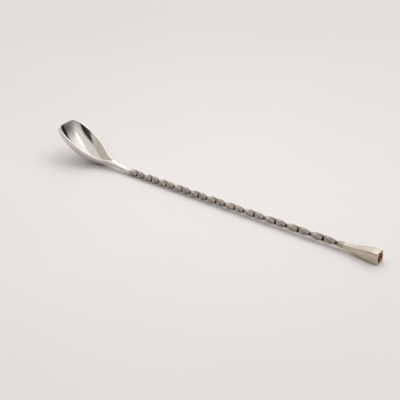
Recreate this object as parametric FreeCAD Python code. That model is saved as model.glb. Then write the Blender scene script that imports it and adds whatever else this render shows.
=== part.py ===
import FreeCAD, Part
import math
import os

# A bar spoon lying on a flat surface: +X runs along the stem to the flared end,
# +Z is up, and the origin is on the surface under the middle of its length.
# It is drawn with its stem level and then tipped by REST_TIP, so that it lies
# on the underside of the flared end and on the heel of the bowl.
# Distances called "reach" are measured back from the end face, along the stem.

V = FreeCAD.Vector

# Whole spoon, millimetres
OVERALL_LENGTH = 280.0
END_X = OVERALL_LENGTH / 2
REST_TIP = 0.4165

# Flared end
END_SIDE = 8.6
END_CORNER = 1.0
END_CHAMFER = 0.45
END_LAND = 4.0
FLARE_LENGTH = 28.0
FLARE_STATIONS = 10
AXIS_HEIGHT = END_SIDE / 2

# Round recess in the end face, its resin disc and the glue under it
RECESS_RADIUS = 3.5
RECESS_DEPTH = 1.6
GLUE_THICKNESS = 0.1
DISC_CROWN = 0.15
DISC_SET_BACK = 0.1

# Twisted bar
BAR_WIDTH = 4.4
BAR_THICKNESS = 3.1
BAR_CORNER = 0.55
TWIST_TURNS = 5.5
TWIST_TIGHTENING = 1.7
TWIST_EASE = 5.0
TWIST_SECTIONS = 132

# Brazed joints: a round tenon at each end of the bar
TENON_RADIUS = 1.1
TENON_LENGTH = 4.0
BRAZE_FILM = 0.1

# Neck, from the bar to the bowl
NECK_REACH = 215.0
NECK_SQUARENESS = 6.0
NECK_ROUNDNESS = 2.4
NECK_POINTS = 32

# Bowl: its rim lies in a plane that climbs away from the neck
WALL = 1.6
TIP_WALL = 0.9
FLOOR = 1.0
RIM_TILT = 27.4
MOUTH_REACH = 234.8
MOUTH_HEIGHT = 5.0
BOWL_LENGTH = 50.15
BOWL_HALF_WIDTH = 13.1
BOWL_DEPTH = 10.4
DEEPEST_PLACE = 17.5
SECTION_POWER = 2.15
INSIDE_POWER = 3.0
SPREAD_SHARE = 0.68
SPREAD_POWER = 2.0
TIP_SHARE = 0.39
TIP_POWER = 5.0
THROAT_OVERLAP = 1.5
THROAT_EASE = 2.0
WALL_RISE = 7.0
HOLLOW_OVERRUN = 1.0
OUTLINE_POINTS = 40
OUTLINE_SAMPLES = 2000
RING_ANGLES = (12, 24, 36, 47, 57, 66, 74, 80)
FLOOR_SIZE = 0.09

# Rim line seen from the side: level at the throat, then up the rim plane
THROAT_HEIGHT = 8.4
RIM_BEND_REACH = 241.35
RIM_BEND_SOFTNESS = 1.07
RIM_POINTS = 40
RIM_ROUND = 0.3
RIM_CHECKS = 8
RIM_TOLERANCE = 0.02


def at_reach(reach):
    return END_X - reach


def rounded_rectangle(x, centre_z, half_width, half_height, corner, turn=0.0):
    """A closed wire across the X axis, turned about its own centre."""
    inner_y = half_width - corner
    inner_z = half_height - corner
    diagonal = corner * math.sqrt(0.5)

    def place(y, z):
        c, s = math.cos(turn), math.sin(turn)
        return V(x, y * c - z * s, centre_z + y * s + z * c)

    edges = []
    quarters = ((1, 1), (-1, 1), (-1, -1), (1, -1))
    for index, (sy, sz) in enumerate(quarters):
        side = place(sy * half_width, sz * inner_z)
        middle = place(sy * (inner_y + diagonal), sz * (inner_z + diagonal))
        top = place(sy * inner_y, sz * half_height)
        start, stop = (side, top) if sy * sz > 0 else (top, side)
        edges.append(Part.Arc(start, middle, stop).toShape())
        next_y, next_z = quarters[(index + 1) % 4]
        if sz == next_z:
            onward = place(next_y * inner_y, next_z * half_height)
        else:
            onward = place(next_y * half_width, next_z * inner_z)
        edges.append(Part.LineSegment(stop, onward).toShape())
    return Part.Wire(edges)


def blend(share):
    """A smooth step from 0 to 1."""
    return (1 - math.cos(math.pi * min(max(share, 0.0), 1.0))) / 2


def tenon_bore(face_x, direction, radius, length):
    return Part.makeCylinder(radius, length, V(face_x, 0, AXIS_HEIGHT), V(direction, 0, 0))


def braze_cup(face_x, direction):
    """The film of brazing alloy round a tenon and over its tip."""
    outer = tenon_bore(face_x, direction, TENON_RADIUS + BRAZE_FILM, TENON_LENGTH + BRAZE_FILM)
    return outer.cut(tenon_bore(face_x, direction, TENON_RADIUS, TENON_LENGTH))


def twist_angles(count):
    """The bar's turn at evenly spaced sections: tighter towards the bowl, eased at both ends."""
    run = NECK_REACH - FLARE_LENGTH
    rates = []
    for i in range(count):
        along = run * i / (count - 1)
        ease = blend(along / TWIST_EASE) * blend((run - along) / TWIST_EASE)
        rates.append(ease * (1 + (TWIST_TIGHTENING - 1) * along / run))
    turned = [0.0]
    for before, after in zip(rates, rates[1:]):
        turned.append(turned[-1] + (before + after) / 2)
    scale = 2 * math.pi * TWIST_TURNS / turned[-1]
    return [-angle * scale for angle in turned]


def make_twisted_stem():
    sections = []
    for i, angle in enumerate(twist_angles(TWIST_SECTIONS)):
        reach = FLARE_LENGTH + (NECK_REACH - FLARE_LENGTH) * i / (TWIST_SECTIONS - 1)
        sections.append(rounded_rectangle(at_reach(reach), AXIS_HEIGHT, BAR_WIDTH / 2,
                                          BAR_THICKNESS / 2, BAR_CORNER, angle))
    bar = Part.makeLoft(sections, True, False)
    flare_tenon = tenon_bore(at_reach(FLARE_LENGTH), 1, TENON_RADIUS, TENON_LENGTH)
    neck_tenon = tenon_bore(at_reach(NECK_REACH), -1, TENON_RADIUS, TENON_LENGTH)
    return bar.fuse(flare_tenon).fuse(neck_tenon)


def flare_section(reach):
    share = 1 - blend((reach - END_LAND) / (FLARE_LENGTH - END_LAND))
    half_width = BAR_WIDTH / 2 + (END_SIDE - BAR_WIDTH) / 2 * share
    half_height = BAR_THICKNESS / 2 + (END_SIDE - BAR_THICKNESS) / 2 * share
    corner = BAR_CORNER + (END_CORNER - BAR_CORNER) * share
    return rounded_rectangle(at_reach(reach), AXIS_HEIGHT, half_width, half_height, corner)


def make_end_flare():
    land = Part.makeLoft([flare_section(0), flare_section(END_LAND)], True, True)
    taper_run = FLARE_LENGTH - END_LAND
    stations = [END_LAND + taper_run * i / FLARE_STATIONS for i in range(FLARE_STATIONS + 1)]
    taper = Part.makeLoft([flare_section(reach) for reach in stations], True, False)
    recess = Part.makeCylinder(RECESS_RADIUS, RECESS_DEPTH, V(END_X, 0, AXIS_HEIGHT), V(-1, 0, 0))
    socket = tenon_bore(at_reach(FLARE_LENGTH), 1, TENON_RADIUS + BRAZE_FILM,
                        TENON_LENGTH + BRAZE_FILM)
    ends = [edge for edge in land.Edges
            if edge.BoundBox.XMin > END_X - END_LAND / 2]
    land = land.makeChamfer(END_CHAMFER, ends)
    return land.fuse(taper).cut(recess).cut(socket)


def make_end_disc():
    """A red disc with a slightly crowned face, just below the metal rim."""
    back = END_X - RECESS_DEPTH + GLUE_THICKNESS
    crown = END_X - DISC_SET_BACK
    edge = crown - DISC_CROWN
    shoulder = (RECESS_RADIUS ** 2 + DISC_CROWN ** 2) / (2 * DISC_CROWN)
    half = RECESS_RADIUS / 2
    rise = math.sqrt(shoulder ** 2 - half ** 2) - (shoulder - DISC_CROWN)
    profile = Part.Wire([
        Part.LineSegment(V(back, 0, 0), V(back, 0, RECESS_RADIUS)).toShape(),
        Part.LineSegment(V(back, 0, RECESS_RADIUS), V(edge, 0, RECESS_RADIUS)).toShape(),
        Part.Arc(V(edge, 0, RECESS_RADIUS), V(edge + rise, 0, half), V(crown, 0, 0)).toShape(),
        Part.LineSegment(V(crown, 0, 0), V(back, 0, 0)).toShape(),
    ])
    disc = Part.Face(profile).revolve(V(0, 0, 0), V(1, 0, 0), 360)
    disc.translate(V(0, 0, AXIS_HEIGHT))
    return disc


def make_disc_glue():
    floor_x = END_X - RECESS_DEPTH
    return Part.makeCylinder(RECESS_RADIUS, GLUE_THICKNESS, V(floor_x, 0, AXIS_HEIGHT), V(1, 0, 0))


def mouth_half_width(share, half_width):
    """Half the bowl's width at a share of its length from the throat to the tip."""
    spread = 1 - (1 - min(share / SPREAD_SHARE, 1.0)) ** SPREAD_POWER
    near_tip = max((share - TIP_SHARE) / (1 - TIP_SHARE), 0.0)
    return half_width * spread * (1 - near_tip ** TIP_POWER) ** (1 / TIP_POWER)


def mouth_outline(start, stop, half_width):
    """Evenly spaced points round the mouth, from the throat's corner back to it."""
    side = []
    for i in range(OUTLINE_SAMPLES + 1):
        share = math.sin(math.pi / 2 * i / OUTLINE_SAMPLES) ** 2
        side.append((start + (stop - start) * share, mouth_half_width(share, half_width)))
    loop = side + [(u, -w) for u, w in reversed(side[:-1])]
    travelled = [0.0]
    for (u0, w0), (u1, w1) in zip(loop, loop[1:]):
        travelled.append(travelled[-1] + math.hypot(u1 - u0, w1 - w0))
    points = []
    index = 0
    for i in range(OUTLINE_POINTS + 1):
        target = travelled[-1] * i / OUTLINE_POINTS
        while index < len(loop) - 2 and travelled[index + 1] < target:
            index += 1
        span = travelled[index + 1] - travelled[index]
        part = (target - travelled[index]) / span if span else 0.0
        (u0, w0), (u1, w1) = loop[index], loop[index + 1]
        points.append((u0 + (u1 - u0) * part, w0 + (w1 - w0) * part))
    return points


def bowl_ring(outline, size, height):
    """One closed line round the bowl, drawn in towards its deepest place."""
    points = []
    for u, w in outline:
        points.append(V(-(DEEPEST_PLACE + (u - DEEPEST_PLACE) * size), w * size, height(u)))
    curve = Part.BSplineCurve()
    curve.interpolate(Points=points, Parameters=[float(i) for i in range(len(points))])
    tip = OUTLINE_POINTS / 2
    return Part.Wire([curve.toShape(0.0, tip), curve.toShape(tip, 2 * tip)])


def throat_share(u):
    """How far the floor follows the gentle throat ramp instead of the full side wall."""
    return min(max(1 - u / DEEPEST_PLACE, 0.0), 1.0) ** THROAT_EASE


def bowl_body(start, stop, half_width, depth, hollow):
    """A filled bowl whose walls carry on above the rim, set at its tilt on the neck.

    The hollow's wall leans out at the rim, where the outside stands upright.
    """
    outline = mouth_outline(start, stop, half_width)
    top = WALL_RISE + (HOLLOW_OVERRUN if hollow else 0.0)
    rings = [bowl_ring(outline, 1.0, lambda u, rise=rise: rise) for rise in (top, top / 2, 0.0)]
    for degrees in RING_ANGLES:
        angle = math.radians(degrees)
        size = math.cos(angle) ** (2 / SECTION_POWER)
        full = 1 - size ** INSIDE_POWER if hollow else math.sin(angle) ** (2 / SECTION_POWER)
        ramp = 1 - size ** 2
        rings.append(bowl_ring(outline, size, lambda u, full=full, ramp=ramp:
                               -depth * (full + (ramp - full) * throat_share(u))))
    rings.append(bowl_ring(outline, FLOOR_SIZE, lambda u: -depth))
    body = Part.makeLoft(rings, True, False)
    body.rotate(V(0, 0, 0), V(0, 1, 0), RIM_TILT)
    body.translate(V(at_reach(MOUTH_REACH), 0, MOUTH_HEIGHT))
    return body


def rim_height(reach):
    ahead = (reach - RIM_BEND_REACH) / RIM_BEND_SOFTNESS
    rise = RIM_BEND_SOFTNESS * math.log1p(math.exp(ahead))
    return THROAT_HEIGHT + math.tan(math.radians(RIM_TILT)) * rise


def above_the_rim():
    """Everything over the rim line, to be cut away."""
    first, last = NECK_REACH, OVERALL_LENGTH + WALL_RISE
    points = []
    for i in range(RIM_POINTS + 1):
        reach = first + (last - first) * i / RIM_POINTS
        points.append(V(at_reach(reach), -2 * BOWL_HALF_WIDTH, rim_height(reach)))
    line = Part.BSplineCurve()
    line.interpolate(points)
    top = rim_height(last) + WALL_RISE
    corners = [points[-1], V(points[-1].x, points[-1].y, top), V(points[0].x, points[0].y, top),
               points[0]]
    sides = [Part.LineSegment(a, b).toShape() for a, b in zip(corners, corners[1:])]
    face = Part.Face(Part.Wire([line.toShape()] + sides))
    return face.extrude(V(0, 4 * BOWL_HALF_WIDTH, 0))


def neck_section(reach, half_width, bottom, top, power):
    """A closed line across the neck: nearly square for a high power, oval for a low one."""
    points = []
    for i in range(NECK_POINTS):
        angle = 2 * math.pi * i / NECK_POINTS
        c, s = math.cos(angle), math.sin(angle)
        y = half_width * math.copysign(abs(c) ** (2 / power), c)
        z = (top + bottom) / 2 + (top - bottom) / 2 * math.copysign(abs(s) ** (2 / power), s)
        points.append(V(at_reach(reach), y, z))
    points.append(points[0])
    curve = Part.BSplineCurve()
    curve.interpolate(Points=points, Parameters=[float(i) for i in range(len(points))])
    half = NECK_POINTS / 2
    return Part.Wire([curve.toShape(0.0, half), curve.toShape(half, 2 * half)])


def make_neck():
    bar_bottom = AXIS_HEIGHT - BAR_THICKNESS / 2
    bar_top = AXIS_HEIGHT + BAR_THICKNESS / 2
    sections = [neck_section(NECK_REACH + TENON_LENGTH * share, BAR_WIDTH / 2, bar_bottom,
                             bar_top, NECK_SQUARENESS) for share in (0.0, 0.5, 1.0)]
    rising = ((223.5, 2.3, 3.7, 6.3), (228.0, 2.6, 4.3, 7.0), (232.0, 3.3, 4.4, 8.1),
              (235.0, 4.1, 3.9, 9.0), (238.0, 4.7, 3.6, 9.6), (241.0, 4.4, 4.0, 9.8))
    for place, (reach, half_width, bottom, top) in enumerate(rising, 1):
        power = NECK_SQUARENESS + (NECK_ROUNDNESS - NECK_SQUARENESS) * place / len(rising)
        sections.append(neck_section(reach, half_width, bottom, top, power))
    return Part.makeLoft(sections, True, False)


def rim_edges(body):
    """The edges that follow the rim line for their whole length."""
    found = []
    for edge in body.Edges:
        heights = []
        for i in range(RIM_CHECKS + 1):
            share = i / RIM_CHECKS
            spot = edge.valueAt(edge.FirstParameter * (1 - share) + edge.LastParameter * share)
            heights.append(abs(spot.z - rim_height(END_X - spot.x)))
        if max(heights) < RIM_TOLERANCE:
            found.append(edge)
    return found


def make_bowl():
    outside = bowl_body(-THROAT_OVERLAP, BOWL_LENGTH, BOWL_HALF_WIDTH, BOWL_DEPTH, False)
    inside = bowl_body(0.0, BOWL_LENGTH - TIP_WALL, BOWL_HALF_WIDTH - WALL, BOWL_DEPTH - FLOOR,
                       True)
    socket = tenon_bore(at_reach(NECK_REACH), -1, TENON_RADIUS + BRAZE_FILM,
                        TENON_LENGTH + BRAZE_FILM)
    body = outside.fuse(make_neck()).cut(above_the_rim()).cut(inside).Solids[0]
    return body.makeFillet(RIM_ROUND, rim_edges(body)).cut(socket)


parts = {
    "bowl": make_bowl(),
    "twisted_stem": make_twisted_stem(),
    "end_flare": make_end_flare(),
    "end_disc": make_end_disc(),
    "disc_glue": make_disc_glue(),
    "neck_braze": braze_cup(at_reach(NECK_REACH), -1),
    "end_braze": braze_cup(at_reach(FLARE_LENGTH), 1),
}

os.makedirs("parts", exist_ok=True)
for name, shape in parts.items():
    shape = shape.Solids[0]
    shape.rotate(V(END_X - END_LAND, 0, 0), V(0, 1, 0), -REST_TIP)
    shape.exportStep("parts/" + name + ".step")
    print(name, "valid", shape.isValid(), "volume", round(shape.Volume, 2))
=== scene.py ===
import math

import bmesh
import bpy
from mathutils import Matrix, Vector


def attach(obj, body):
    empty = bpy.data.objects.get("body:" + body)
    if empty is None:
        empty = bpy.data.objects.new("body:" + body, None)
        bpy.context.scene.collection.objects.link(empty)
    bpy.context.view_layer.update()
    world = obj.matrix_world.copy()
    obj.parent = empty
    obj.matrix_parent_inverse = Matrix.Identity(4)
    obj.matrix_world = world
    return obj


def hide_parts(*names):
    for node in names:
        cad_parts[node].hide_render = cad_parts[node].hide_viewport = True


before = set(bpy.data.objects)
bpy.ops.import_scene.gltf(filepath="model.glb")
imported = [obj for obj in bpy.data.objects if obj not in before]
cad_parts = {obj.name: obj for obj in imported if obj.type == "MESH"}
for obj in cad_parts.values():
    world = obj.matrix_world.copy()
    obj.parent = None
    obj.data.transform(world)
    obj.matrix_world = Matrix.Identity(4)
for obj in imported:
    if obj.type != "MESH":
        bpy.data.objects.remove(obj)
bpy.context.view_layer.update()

MM = 0.001

# Sizes of the spoon in millimetres, drawn with the stem level. "Reach" is measured
# back along the stem from the end face.
END_X = 140.0
END_SIDE = 8.6
END_LAND = 4.0
END_CORNER = 1.0
FLARE_LENGTH = 28.0
AXIS_HEIGHT = END_SIDE / 2
RECESS_RADIUS = 3.5
END_CHAMFER = 0.45
RECESS_DEPTH = 1.6
GLUE_THICKNESS = 0.1
DISC_SET_BACK = 0.1
DISC_CROWN = 0.15
BAR_WIDTH = 4.4
BAR_THICKNESS = 3.1
BAR_CORNER = 0.55
TWIST_TURNS = 5.5
TWIST_TIGHTENING = 1.7
TWIST_EASE = 5.0
TENON_RADIUS = 1.1
TENON_LENGTH = 4.0
SOCKET_RADIUS = 1.2
NECK_REACH = 215.0
WALL = 1.6
TIP_WALL = 0.9
FLOOR = 1.0
RIM_TILT = math.radians(27.4)
MOUTH_REACH = 234.8
MOUTH_HEIGHT = 5.0
BOWL_LENGTH = 50.15
BOWL_HALF_WIDTH = 13.1
BOWL_DEPTH = 10.4
DEEPEST_PLACE = 17.5
SECTION_POWER = 2.15
INSIDE_POWER = 3.0
SPREAD_SHARE = 0.68
SPREAD_POWER = 2.0
TIP_SHARE = 0.39
TIP_POWER = 5.0
THROAT_OVERLAP = 1.5
THROAT_EASE = 2.0
THROAT_HEIGHT = 8.4
RIM_BEND_REACH = 241.35
RIM_BEND_SOFTNESS = 1.07

# The drawn spoon is tipped by this much, about the inner edge of the flat under its
# end, so that the end and the heel of the bowl both rest on the surface.
REST_TIP = math.radians(0.4165)
LAY_DOWN = (Matrix.Translation((END_X - END_LAND, 0, 0)) @ Matrix.Rotation(-REST_TIP, 4, "Y")
            @ Matrix.Translation((END_LAND - END_X, 0, 0)))

# How finely the skins are drawn, and how they are finished, in millimetres.
BAR_STATIONS = 520
FLARE_STATIONS = 56
DISC_RINGS = 14
MERGE_GAP = 0.0005
SHARP_EDGE = math.radians(50)


# ---------------------------------------------------------------- shapes

def step(share):
    """A smooth step from 0 to 1."""
    return (1 - math.cos(math.pi * min(max(share, 0.0), 1.0))) / 2


def flat_grid(columns, rows):
    """A grid sheet to be wrapped into a skin, and its vertices by (row, column)."""
    bm = bmesh.new()
    bmesh.ops.create_grid(bm, x_segments=columns, y_segments=rows, size=1)
    placed = {}
    for vert in bm.verts:
        column = round((vert.co.x + 1) / 2 * columns)
        row = round((vert.co.y + 1) / 2 * rows)
        placed[row, column] = vert
    return bm, placed


def finish_piece(bm, name, material, stands_for):
    """Closes the open ends, turns the faces outwards and lays the piece where it belongs."""
    bmesh.ops.remove_doubles(bm, verts=bm.verts, dist=MERGE_GAP)
    open_edges = [edge for edge in bm.edges if edge.is_boundary]
    bmesh.ops.holes_fill(bm, edges=open_edges, sides=0)
    bmesh.ops.recalc_face_normals(bm, faces=bm.faces)
    bmesh.ops.transform(bm, matrix=Matrix.Scale(MM, 4) @ LAY_DOWN, verts=bm.verts)
    for face in bm.faces:
        face.smooth = True
    mesh = bpy.data.meshes.new(name)
    bm.to_mesh(mesh)
    bm.free()
    mesh.set_sharp_from_angle(angle=SHARP_EDGE)
    piece = bpy.data.objects.new(name, mesh)
    bpy.context.scene.collection.objects.link(piece)
    mesh.materials.append(material)
    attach(piece, "root")
    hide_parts(stands_for)
    return piece


def round_the_bar(station, column, corner_steps, side_steps):
    """One point of a rounded rectangle across the stem."""
    reach, half_width, half_height, corner, turn = station
    quarter, place = divmod(column, corner_steps + side_steps)
    inner_y, inner_z = half_width - corner, half_height - corner

    def on_corner(index, angle):
        side_y = 1 if index % 4 in (0, 3) else -1
        side_z = 1 if index % 4 in (0, 1) else -1
        return Vector((side_y * inner_y + corner * math.cos(angle),
                       side_z * inner_z + corner * math.sin(angle)))

    start = math.pi / 2 * quarter
    if place <= corner_steps:
        flat = on_corner(quarter, start + math.pi / 2 * place / corner_steps)
    else:
        bend_end = start + math.pi / 2
        share = (place - corner_steps) / side_steps
        flat = on_corner(quarter, bend_end).lerp(on_corner(quarter + 1, bend_end), share)
    c, s = math.cos(turn), math.sin(turn)
    return Vector((END_X - reach, flat.x * c - flat.y * s,
                   AXIS_HEIGHT + flat.x * s + flat.y * c))


def sleeve(stations, corner_steps, side_steps):
    """A skin drawn over stations along the stem."""
    columns = 4 * (corner_steps + side_steps)
    bm, placed = flat_grid(columns, len(stations) - 1)
    for (row, column), vert in placed.items():
        vert.co = round_the_bar(stations[row], column % columns, corner_steps, side_steps)
    return bm


def twist_angles(count):
    """The bar's turn at even steps: tighter towards the bowl, eased at both ends."""
    run = NECK_REACH - FLARE_LENGTH
    rates = []
    for i in range(count):
        along = run * i / (count - 1)
        ease = step(along / TWIST_EASE) * step((run - along) / TWIST_EASE)
        rates.append(ease * (1 + (TWIST_TIGHTENING - 1) * along / run))
    turned = [0.0]
    for before, after in zip(rates, rates[1:]):
        turned.append(turned[-1] + (before + after) / 2)
    return [-angle * 2 * math.pi * TWIST_TURNS / turned[-1] for angle in turned]


def twisted_bar(material):
    """The flat bar, twisted into a helix, with a round tenon at each end."""
    stations = [(FLARE_LENGTH - TENON_LENGTH, TENON_RADIUS, TENON_RADIUS, TENON_RADIUS, 0),
                (FLARE_LENGTH, TENON_RADIUS, TENON_RADIUS, TENON_RADIUS, 0)]
    for i, turn in enumerate(twist_angles(BAR_STATIONS)):
        reach = FLARE_LENGTH + (NECK_REACH - FLARE_LENGTH) * i / (BAR_STATIONS - 1)
        stations.append((reach, BAR_WIDTH / 2, BAR_THICKNESS / 2, BAR_CORNER, turn))
    last = stations[-1][4]
    stations += [(NECK_REACH, TENON_RADIUS, TENON_RADIUS, TENON_RADIUS, last),
                 (NECK_REACH + TENON_LENGTH, TENON_RADIUS, TENON_RADIUS, TENON_RADIUS, last)]
    return finish_piece(sleeve(stations, 6, 4), "twisted_bar", material, "twisted_stem")


def flare_station(reach):
    """The section of the flared end: the bar's own size swelling to the square end."""
    share = 1 - step((reach - END_LAND) / (FLARE_LENGTH - END_LAND))
    return (reach, BAR_WIDTH / 2 + (END_SIDE - BAR_WIDTH) / 2 * share,
            BAR_THICKNESS / 2 + (END_SIDE - BAR_THICKNESS) / 2 * share,
            BAR_CORNER + (END_CORNER - BAR_CORNER) * share, 0)


def round_station(reach, radius):
    return (reach, radius, radius, radius, 0)


def drawn_in(station, reach, inset):
    """The same section, smaller all round."""
    return (reach, station[1] - inset, station[2] - inset, max(station[3] - inset, 0.3), 0)


def flared_end(material):
    """The trumpet-shaped end, from its socket out to the chamfer and into the recess."""
    land_stop, soft = 0.6, 0.06
    stations = [round_station(FLARE_LENGTH - TENON_LENGTH, SOCKET_RADIUS),
                round_station(FLARE_LENGTH, SOCKET_RADIUS)]
    for i in range(FLARE_STATIONS):
        share = i / FLARE_STATIONS
        stations.append(flare_station(FLARE_LENGTH * (1 - share) + land_stop * share))
    full = flare_station(0)
    stations += [drawn_in(full, END_CHAMFER + soft, 0.0),
                 drawn_in(full, END_CHAMFER - soft / 2, soft / 2),
                 drawn_in(full, soft / 2, END_CHAMFER - soft / 2),
                 drawn_in(full, 0.0, END_CHAMFER + soft)]
    # the recess: an eased lip, the straight wall and an eased corner at the bottom
    stations += [round_station(0.0, RECESS_RADIUS + 0.16),
                 round_station(0.03, RECESS_RADIUS + 0.05),
                 round_station(0.12, RECESS_RADIUS),
                 round_station(RECESS_DEPTH - 0.05, RECESS_RADIUS),
                 round_station(RECESS_DEPTH, RECESS_RADIUS - 0.05)]
    return finish_piece(sleeve(stations, 12, 4), "flared_end", material, "end_flare")


def red_disc(material):
    """The disc in the recess: a flat back, a straight edge and a slightly domed face."""
    gap, edge_ease = 0.03, 0.12
    back = RECESS_DEPTH - GLUE_THICKNESS
    edge_radius = RECESS_RADIUS - gap
    dome = (edge_radius ** 2 + DISC_CROWN ** 2) / (2 * DISC_CROWN)
    stations = [round_station(back, 0.0), round_station(back, edge_radius)]
    shoulder = DISC_SET_BACK + DISC_CROWN
    stations += [round_station(shoulder + edge_ease, edge_radius),
                 round_station(shoulder + edge_ease / 3, edge_radius - edge_ease / 4)]
    for i in range(1, DISC_RINGS + 1):
        radius = (edge_radius - edge_ease) * (1 - i / DISC_RINGS)
        sag = dome - math.sqrt(dome ** 2 - radius ** 2)
        stations.append(round_station(DISC_SET_BACK + sag, radius))
    return finish_piece(sleeve(stations, 12, 1), "red_disc", material, "end_disc")


# The bowl is wrapped from one sheet: up the inside from its deepest place, over the
# rim and down the outside. The neck is then drawn out of its throat.

AROUND = 56
RIM_LAND = 0.965
# the outside is widened beside the throat: by how much, where, how far along and across
SHOULDER = 1.2
SHOULDER_PLACE = 1.0
SHOULDER_SPREAD = 3.5
SHOULDER_EASE = 1.5
THROAT_COLUMN = AROUND // 2
NECK_REACHES_INTO = 3
# the wall's rows: shares of the full size from the deepest place out, then distances
# under the rim, on the inside and on the outside
WALL_ROWS = (0.0, 0.07, 0.18, 0.32, 0.47, 0.61, 0.73, 0.83, 0.90, 0.95)
INSIDE_UNDER_RIM = (0.7, 0.16, 0.0)
OUTSIDE_UNDER_RIM = (0.45, 1.5)
# the neck: reach, half width, underside, top and how square it is, down to the plain
# bar's section and then into the socket for the tenon
BAR_BOTTOM, BAR_TOP = AXIS_HEIGHT - BAR_THICKNESS / 2, AXIS_HEIGHT + BAR_THICKNESS / 2
SOCKET_BOTTOM, SOCKET_TOP = AXIS_HEIGHT - SOCKET_RADIUS, AXIS_HEIGHT + SOCKET_RADIUS
NECK_STATIONS = (
    (232.0, 3.8, 4.5, 8.3, 2.6), (229.0, 3.1, 4.75, 7.6, 2.3),
    (225.5, 2.6, 4.3, 6.8, 2.5), (222.0, 2.35, 3.45, 6.2, 3.4),
    (219.0, BAR_WIDTH / 2, BAR_BOTTOM, BAR_TOP, 6.0),
    (217.0, BAR_WIDTH / 2, BAR_BOTTOM, BAR_TOP, 7.0),
    (NECK_REACH + 0.08, BAR_WIDTH / 2, BAR_BOTTOM, BAR_TOP, 7.0),
    (NECK_REACH, BAR_WIDTH / 2, BAR_BOTTOM, BAR_TOP, 7.0),
    (NECK_REACH, SOCKET_RADIUS + 0.1, SOCKET_BOTTOM - 0.1, SOCKET_TOP + 0.1, 2.0),
    (NECK_REACH + 0.06, SOCKET_RADIUS, SOCKET_BOTTOM, SOCKET_TOP, 2.0),
    (NECK_REACH + TENON_LENGTH, SOCKET_RADIUS, SOCKET_BOTTOM, SOCKET_TOP, 2.0),
    (NECK_REACH + TENON_LENGTH + 0.1, SOCKET_RADIUS, SOCKET_BOTTOM, SOCKET_TOP, 2.0))
# where the neck's long lines lie round its section, in degrees
NECK_LINES = (135, 120, 105, 90, 75, 60, 45, 15, -15,
              -45, -60, -75, -90, -105, -120, -135, -165, 165)


def rim_height(reach):
    """The rim line: level along the neck, then bending up smoothly to the mouth's tilt."""
    ahead = (reach - RIM_BEND_REACH) / RIM_BEND_SOFTNESS
    return (THROAT_HEIGHT
            + math.tan(RIM_TILT) * RIM_BEND_SOFTNESS * math.log1p(math.exp(ahead)))


def in_the_bowl(u, w, n):
    """A point along, across and above the tilted mouth, in the stem's own axes."""
    return Vector((END_X - MOUTH_REACH - u * math.cos(RIM_TILT) + n * math.sin(RIM_TILT), w,
                   MOUTH_HEIGHT + u * math.sin(RIM_TILT) + n * math.cos(RIM_TILT)))


def rise_to_rim(u, w):
    """How far the wall carries on above the mouth plane to meet the rim line."""
    n = 0.0
    for _ in range(30):
        spot = in_the_bowl(u, w, n)
        n += (rim_height(END_X - spot.x) - spot.z) * 0.8
    return n


def mouth_outline(start, stop, half_width):
    """Evenly spaced points round the mouth, from the throat back to it."""
    samples = 1200
    side = []
    for i in range(samples + 1):
        share = math.sin(math.pi / 2 * i / samples) ** 2
        spread = 1 - (1 - min(share / SPREAD_SHARE, 1.0)) ** SPREAD_POWER
        near_tip = max((share - TIP_SHARE) / (1 - TIP_SHARE), 0.0)
        width = half_width * spread * (1 - near_tip ** TIP_POWER) ** (1 / TIP_POWER)
        side.append(Vector((start + (stop - start) * share, width)))
    loop = side + [Vector((spot.x, -spot.y)) for spot in reversed(side[:-1])]
    travelled = [0.0]
    for before, after in zip(loop, loop[1:]):
        travelled.append(travelled[-1] + (after - before).length)
    points, index = [], 0
    for i in range(AROUND):
        target = travelled[-1] * i / AROUND
        while travelled[index + 1] < target:
            index += 1
        share = (target - travelled[index]) / max(travelled[index + 1] - travelled[index], 1e-9)
        points.append(loop[index].lerp(loop[index + 1], share))
    return points


def wall_drop(u, size, hollow):
    """How deep the wall is at a size, as a share of the bowl's depth. The hollow leans
    out at the rim, where the outside stands upright."""
    if hollow:
        full = 1 - size ** INSIDE_POWER
    else:
        full = (1 - size ** SECTION_POWER) ** (1 / SECTION_POWER)
    share = min(max(1 - u / DEEPEST_PLACE, 0.0), 1.0) ** THROAT_EASE
    return full + (1 - size ** 2 - full) * share


def wall_point(spot, size, hollow):
    """A point on the bowl's wall, drawn in towards the deepest place."""
    depth = BOWL_DEPTH - FLOOR if hollow else BOWL_DEPTH
    return in_the_bowl(DEEPEST_PLACE + (spot.x - DEEPEST_PLACE) * size, spot.y * size,
                       -depth * wall_drop(spot.x, size, hollow))


def below_rim(spot, distance, hollow):
    """A point on the wall this far below the rim."""
    n = rise_to_rim(spot.x, spot.y) - distance
    if n >= 0:
        return in_the_bowl(spot.x, spot.y, n)
    depth = BOWL_DEPTH - FLOOR if hollow else BOWL_DEPTH
    small, large = 0.5, 1.0
    for _ in range(30):
        size = (small + large) / 2
        if -depth * wall_drop(spot.x, size, hollow) < n:
            small = size
        else:
            large = size
    return wall_point(spot, size, hollow)


def with_shoulder(spot):
    """The outside widened beside the throat, where the neck's land runs into the rim."""
    extra = (SHOULDER * math.exp(-((spot.x - SHOULDER_PLACE) / SHOULDER_SPREAD) ** 2)
             * min(abs(spot.y) / SHOULDER_EASE, 1.0))
    return Vector((spot.x, spot.y + math.copysign(extra, spot.y)))


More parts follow.
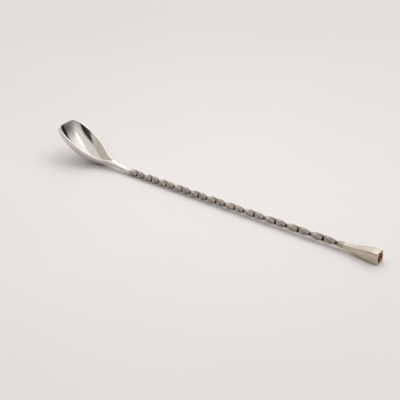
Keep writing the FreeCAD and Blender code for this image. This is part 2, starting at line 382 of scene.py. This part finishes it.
def bowl_with_neck(material):
    """The bowl's whole skin, opened at the throat, and the neck drawn out of the opening."""
    inner = mouth_outline(0.0, BOWL_LENGTH - TIP_WALL, BOWL_HALF_WIDTH - WALL)
    outer = [with_shoulder(spot) for spot in
             mouth_outline(-THROAT_OVERLAP, BOWL_LENGTH, BOWL_HALF_WIDTH)]
    rows = [[wall_point(spot, size, True) for spot in inner] for size in WALL_ROWS]
    rows += [[below_rim(spot, distance, True) for spot in inner]
             for distance in INSIDE_UNDER_RIM]
    top_row = len(rows)
    rows.append([in_the_bowl(DEEPEST_PLACE + (spot.x - DEEPEST_PLACE) * RIM_LAND,
                             spot.y * RIM_LAND, rise_to_rim(spot.x, spot.y))
                 for spot in outer])
    rows += [[below_rim(spot, distance, False) for spot in outer]
             for distance in OUTSIDE_UNDER_RIM]
    rows += [[wall_point(spot, size, False) for spot in outer] for size in reversed(WALL_ROWS)]

    bm, placed = flat_grid(AROUND, len(rows) - 1)
    for (row, column), vert in placed.items():
        vert.co = rows[row][(column + THROAT_COLUMN) % AROUND]

    # the opening for the neck, and its edge taken in order
    left, right = THROAT_COLUMN - NECK_REACHES_INTO, THROAT_COLUMN + NECK_REACHES_INTO
    low_row = top_row + 3
    opening = {placed[row, column] for row in range(top_row, low_row + 1)
               for column in range(left, right + 1)}
    ring = [placed[top_row, column] for column in range(left, right + 1)]
    ring += [placed[row, right] for row in range(top_row + 1, low_row)]
    ring += [placed[low_row, column] for column in range(right, left - 1, -1)]
    ring += [placed[row, left] for row in range(low_row - 1, top_row, -1)]
    bmesh.ops.delete(bm, geom=[face for face in bm.faces if set(face.verts) <= opening],
                     context="FACES")
    bmesh.ops.remove_doubles(bm, verts=[vert for vert in bm.verts if vert not in opening],
                             dist=MERGE_GAP)
    hand = 1 if ring[2 * NECK_REACHES_INTO].co.y > 0 else -1
    spokes = [math.radians(angle) for angle in NECK_LINES]

    def drawn_out():
        """The next ring of the neck, grown from the open edge."""
        edges = [edge for edge in bm.edges if edge.is_boundary]
        grown = bmesh.ops.extrude_edge_only(bm, edges=edges)["geom"]
        fresh = [item for item in grown if isinstance(item, bmesh.types.BMVert)]
        return [min(fresh, key=lambda vert, old=old: (vert.co - old.co).length) for old in ring]

    for reach, half_width, bottom, top, power in NECK_STATIONS:
        ring = drawn_out()
        for vert, angle in zip(ring, spokes):
            c, s = math.cos(angle), math.sin(angle)
            y = math.copysign(abs(c) ** (2 / power), c)
            z = math.copysign(abs(s) ** (2 / power), s)
            vert.co = Vector((END_X - reach, hand * y * half_width,
                              (top + bottom) / 2 + z * (top - bottom) / 2))
    piece = finish_piece(bm, "bowl_with_neck", material, "bowl")
    smooth = piece.modifiers.new("rounding", "SUBSURF")
    smooth.levels = smooth.render_levels = 3
    return piece


# ---------------------------------------------------------------- finishes

def linear(hex_colour):
    """An sRGB hex colour as linear RGBA."""
    values = [int(hex_colour[i:i + 2], 16) / 255 for i in (1, 3, 5)]
    return [v / 12.92 if v <= 0.04045 else ((v + 0.055) / 1.055) ** 2.4 for v in values] + [1.0]


def add_node(tree, kind, settings=None, links=None):
    """One node with its settings by name, its input values, and links into it."""
    node = tree.nodes.new(kind)
    for key, value in (settings or {}).items():
        if isinstance(key, str) and hasattr(node, key):
            setattr(node, key, value)
        else:
            node.inputs[key].default_value = value
    for key, source in (links or {}).items():
        tree.links.new(source, node.inputs[key])
    return node


def new_finish(name):
    """A material with an empty node tree."""
    material = bpy.data.materials.new(name)
    material.use_nodes = True
    tree = material.node_tree
    tree.nodes.clear()
    return material, tree


def polished_stainless(name, light_hex, dark_hex, roughness_low, roughness_high, grain_mm,
                       grain_stretch, grain_depth):
    """Stainless steel, buffed bright: faint buffing lines run along the piece and the
    shine varies a little where it has been handled."""
    material, tree = new_finish(name)
    where = add_node(tree, "ShaderNodeTexCoord").outputs["Object"]
    handled = add_node(tree, "ShaderNodeTexNoise",
                       {"Scale": 1 / (14 * MM), "Detail": 3.0, "Roughness": 0.55},
                       {"Vector": where})
    tone = add_node(tree, "ShaderNodeValToRGB", links={"Fac": handled.outputs["Fac"]})
    tone.color_ramp.elements[0].position, tone.color_ramp.elements[1].position = 0.3, 0.7
    tone.color_ramp.elements[0].color = linear(dark_hex)
    tone.color_ramp.elements[1].color = linear(light_hex)
    shine = add_node(tree, "ShaderNodeMapRange",
                     {"From Min": 0.3, "From Max": 0.7, "To Min": roughness_low,
                      "To Max": roughness_high}, {"Value": handled.outputs["Fac"]})
    along = add_node(tree, "ShaderNodeMapping", {"Scale": (1 / grain_stretch, 1.0, 1.0)},
                     {"Vector": where})
    # Real buffing lines are about 0.05 mm apart; these are wider, to show at all.
    lines = add_node(tree, "ShaderNodeTexNoise", {"Scale": 1 / (grain_mm * MM), "Detail": 2.0},
                     {"Vector": along.outputs["Vector"]})
    relief = add_node(tree, "ShaderNodeBump", {"Strength": 0.25, "Distance": grain_depth * MM},
                      {"Height": lines.outputs["Fac"]})
    steel = add_node(tree, "ShaderNodeBsdfPrincipled", {"Metallic": 1.0},
                     {"Base Color": tone.outputs["Color"], "Roughness": shine.outputs["Result"],
                      "Normal": relief.outputs["Normal"]})
    add_node(tree, "ShaderNodeOutputMaterial", links={"Surface": steel.outputs["BSDF"]})
    return material


def cast_red_resin():
    """Cast resin, polished flush: a deep red, slightly cloudy body under a soft gloss."""
    material, tree = new_finish("cast_red_resin")
    where = add_node(tree, "ShaderNodeTexCoord").outputs["Object"]
    cloud = add_node(tree, "ShaderNodeTexNoise", {"Scale": 1 / (2.5 * MM), "Detail": 2.0},
                     {"Vector": where})
    tone = add_node(tree, "ShaderNodeValToRGB", links={"Fac": cloud.outputs["Fac"]})
    tone.color_ramp.elements[0].position, tone.color_ramp.elements[1].position = 0.3, 0.75
    tone.color_ramp.elements[0].color = linear("#5e040c")
    tone.color_ramp.elements[1].color = linear("#7c0c18")
    resin = add_node(tree, "ShaderNodeBsdfPrincipled",
                     {"Roughness": 0.22, "IOR": 1.45, "Specular IOR Level": 0.10},
                     {"Base Color": tone.outputs["Color"]})
    add_node(tree, "ShaderNodeOutputMaterial", links={"Surface": resin.outputs["BSDF"]})
    return material


def plain_mottled(name, light_hex, dark_hex, metallic, roughness, mottle_mm):
    """What fills a hidden joint: one dull tone, faintly mottled."""
    material, tree = new_finish(name)
    where = add_node(tree, "ShaderNodeTexCoord").outputs["Object"]
    mottle = add_node(tree, "ShaderNodeTexNoise", {"Scale": 1 / (mottle_mm * MM)},
                      {"Vector": where})
    tone = add_node(tree, "ShaderNodeValToRGB", links={"Fac": mottle.outputs["Fac"]})
    tone.color_ramp.elements[0].color = linear(dark_hex)
    tone.color_ramp.elements[1].color = linear(light_hex)
    body = add_node(tree, "ShaderNodeBsdfPrincipled",
                    {"Metallic": metallic, "Roughness": roughness},
                    {"Base Color": tone.outputs["Color"]})
    add_node(tree, "ShaderNodeOutputMaterial", links={"Surface": body.outputs["BSDF"]})
    return material


def matt_paper():
    """The matt paper the spoon lies on: a pale warm white with faint random unevenness, and
    painted shade that turns it greyer further from the spoon, where the light falls off.
    """
    material, tree = new_finish("matt_pale_paper")
    where = add_node(tree, "ShaderNodeTexCoord").outputs["Object"]
    # painted shade: the paper's tone turns greyer with distance from the spoon, standing in for
    # the light falling off away from it
    away = add_node(tree, "ShaderNodeVectorMath", {"operation": "LENGTH"}, {0: where})
    fibres = add_node(tree, "ShaderNodeTexNoise", {"Scale": 1 / (120 * MM), "Detail": 2.0},
                      {"Vector": where})
    unevenness_and_painted_shade = add_node(tree, "ShaderNodeMath", {"operation": "MULTIPLY_ADD", 1: 0.08},
                      {0: fibres.outputs["Fac"], 2: away.outputs["Value"]})
    tone = add_node(tree, "ShaderNodeValToRGB", links={"Fac": unevenness_and_painted_shade.outputs["Value"]})
    tone.color_ramp.elements[0].position, tone.color_ramp.elements[1].position = 0.10, 0.42
    tone.color_ramp.elements[0].color = linear("#e6e2de")
    tone.color_ramp.elements[1].color = linear("#d8d2d1")
    paper = add_node(tree, "ShaderNodeBsdfPrincipled", {"Roughness": 0.85},
                     {"Base Color": tone.outputs["Color"]})
    add_node(tree, "ShaderNodeOutputMaterial", links={"Surface": paper.outputs["BSDF"]})
    return material


# ---------------------------------------------------------------- the studio

ROOM_LOW, ROOM_HIGH = 0.35, 0.88
# direction, cosine at the soft edge, cosine at full strength, strength added
BRIGHT_PANELS = (((0.46, 0.42, 0.78), 0.93, 0.99, 0.75),
                 ((-0.10, 0.72, 0.69), 0.90, 0.98, 0.4),
                 ((-0.46, 0.78, 0.42), 0.82, 0.95, 0.65))
# the same, with the share of light left in the middle
DARK_PANELS = (((-0.12, -0.96, 0.24), 0.92, 0.975, 0.03),
               ((-0.50, -0.83, 0.25), 0.965, 0.99, 0.03),
               ((0.49, 0.85, 0.18), 0.94, 0.98, 0.03))


def lay_paper(material):
    """A wide flat sheet under the spoon."""
    bm = bmesh.new()
    bmesh.ops.create_grid(bm, x_segments=8, y_segments=8, size=3.0)
    mesh = bpy.data.meshes.new("paper")
    bm.to_mesh(mesh)
    bm.free()
    mesh.materials.append(material)
    paper = bpy.data.objects.new("paper", mesh)
    bpy.context.scene.collection.objects.link(paper)


def light_the_room():
    """A soft pale room, brighter overhead, with bright panels above and behind the spoon
    and dark patches low on the near side and behind."""
    world = bpy.data.worlds.new("studio")
    world.use_nodes = True
    bpy.context.scene.world = world
    tree = world.node_tree
    tree.nodes.clear()
    where = add_node(tree, "ShaderNodeTexCoord").outputs["Generated"]

    def panel(direction, soft_edge, full, strength_outside, strength_inside):
        """Strength by the cosine of the angle from a direction."""
        toward = add_node(tree, "ShaderNodeVectorMath",
                          {"operation": "DOT_PRODUCT", 1: Vector(direction).normalized()},
                          {0: where})
        return add_node(tree, "ShaderNodeMapRange",
                        {"interpolation_type": "SMOOTHSTEP", "From Min": soft_edge,
                         "From Max": full, "To Min": strength_outside,
                         "To Max": strength_inside},
                        {"Value": toward.outputs["Value"]}).outputs["Result"]

    def joined(kind, first, second):
        return add_node(tree, "ShaderNodeMath", {"operation": kind},
                        {0: first, 1: second}).outputs["Value"]

    glow = panel((0.0, 0.0, 1.0), 0.2, 0.7, ROOM_LOW, ROOM_HIGH)
    for direction, soft_edge, full, strength in BRIGHT_PANELS:
        glow = joined("ADD", glow, panel(direction, soft_edge, full, 0.0, strength))
    for direction, soft_edge, full, left in DARK_PANELS:
        glow = joined("MULTIPLY", glow, panel(direction, soft_edge, full, 1.0, left))
    sky = add_node(tree, "ShaderNodeBackground", {"Color": linear("#ffffff")},
                   {"Strength": glow})
    add_node(tree, "ShaderNodeOutputWorld", links={"Surface": sky.outputs["Background"]})


def softbox(name, place, target, size, watts, hex_colour):
    """A soft lamp that shapes the shadow and is not mirrored in the steel."""
    lamp = bpy.data.lights.new(name, "AREA")
    lamp.shape = "RECTANGLE"
    lamp.size, lamp.size_y = size
    lamp.energy = watts
    lamp.color = linear(hex_colour)[:3]
    holder = bpy.data.objects.new(name, lamp)
    holder.location = place
    holder.rotation_euler = (Vector(target) - Vector(place)).to_track_quat("-Z", "Y").to_euler()
    bpy.context.scene.collection.objects.link(holder)
    holder.visible_glossy = False


# where the camera stands and what it looks at, in the spoon's own millimetres
CAMERA_PLACE = (503.44, -698.21, 465.09)
CAMERA_AIM = (-10.93, 0.90, 0.0)
SENSOR_WIDTH = 36.0
FOCAL_LENGTH = 121.05


def set_camera():
    """Looks down on the spoon from its near side, beyond the flared end."""
    lens = bpy.data.cameras.new("camera")
    lens.sensor_width = SENSOR_WIDTH
    lens.lens = FOCAL_LENGTH
    lens.clip_start, lens.clip_end = 0.05, 20.0
    camera = bpy.data.objects.new("camera", lens)
    eye = LAY_DOWN @ Vector(CAMERA_PLACE)
    aim = LAY_DOWN @ Vector(CAMERA_AIM)
    up = LAY_DOWN.to_3x3() @ Vector((0, 0, 1))
    back = (eye - aim).normalized()
    right = up.cross(back).normalized()
    turn = Matrix((right, back.cross(right), back)).transposed()
    camera.matrix_world = Matrix.Translation(eye * MM) @ turn.to_4x4()
    bpy.context.scene.collection.objects.link(camera)
    bpy.context.scene.camera = camera


# ---------------------------------------------------------------- the spoon

bowl_steel = polished_stainless("polished_stainless_bowl", "#e0dbd4", "#d6d0c8", 0.10, 0.17,
                                0.35, 6.0, 0.004)
# the bar is the same steel as the bowl, painted darker: painted shade standing in for the dark
# reflections along the twisted stem
bar_steel_with_painted_shade = polished_stainless("polished_stainless_bar_with_painted_shade", "#aea398", "#988e84", 0.10, 0.16,
                               0.3, 5.0, 0.004)
# the flared end is the same steel as the bowl, painted darker and warmer: painted shade
# standing in for the shade on its near side
end_steel_with_painted_shade = polished_stainless("polished_stainless_end_with_painted_shade", "#cbc1b1", "#bbb1a1", 0.10, 0.16,
                               0.3, 10.0, 0.004)
# brazing alloy is a pale yellowish metal with a dull shine, set adhesive a clear amber
braze = plain_mottled("silver_brazing_alloy", "#cfc7a8", "#b9b092", 1.0, 0.35, 0.8)
glue = plain_mottled("set_clear_adhesive", "#b9a98a", "#a39375", 0.0, 0.25, 1.2)

bowl_with_neck(bowl_steel)
twisted_bar(bar_steel_with_painted_shade)
flared_end(end_steel_with_painted_shade)
red_disc(cast_red_resin())
for node, material in (("neck_braze", braze), ("end_braze", braze), ("disc_glue", glue)):
    cad_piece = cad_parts[node]
    cad_piece.data.materials.clear()
    cad_piece.data.materials.append(material)

lay_paper(matt_paper())
light_the_room()
softbox("back_softbox", (-0.1, 0.7, 1.3), (-0.05, 0.0, 0.0), (1.6, 1.2), 6.0, "#fffdfa")
set_camera()
bpy.context.scene.view_settings.view_transform = "Standard"
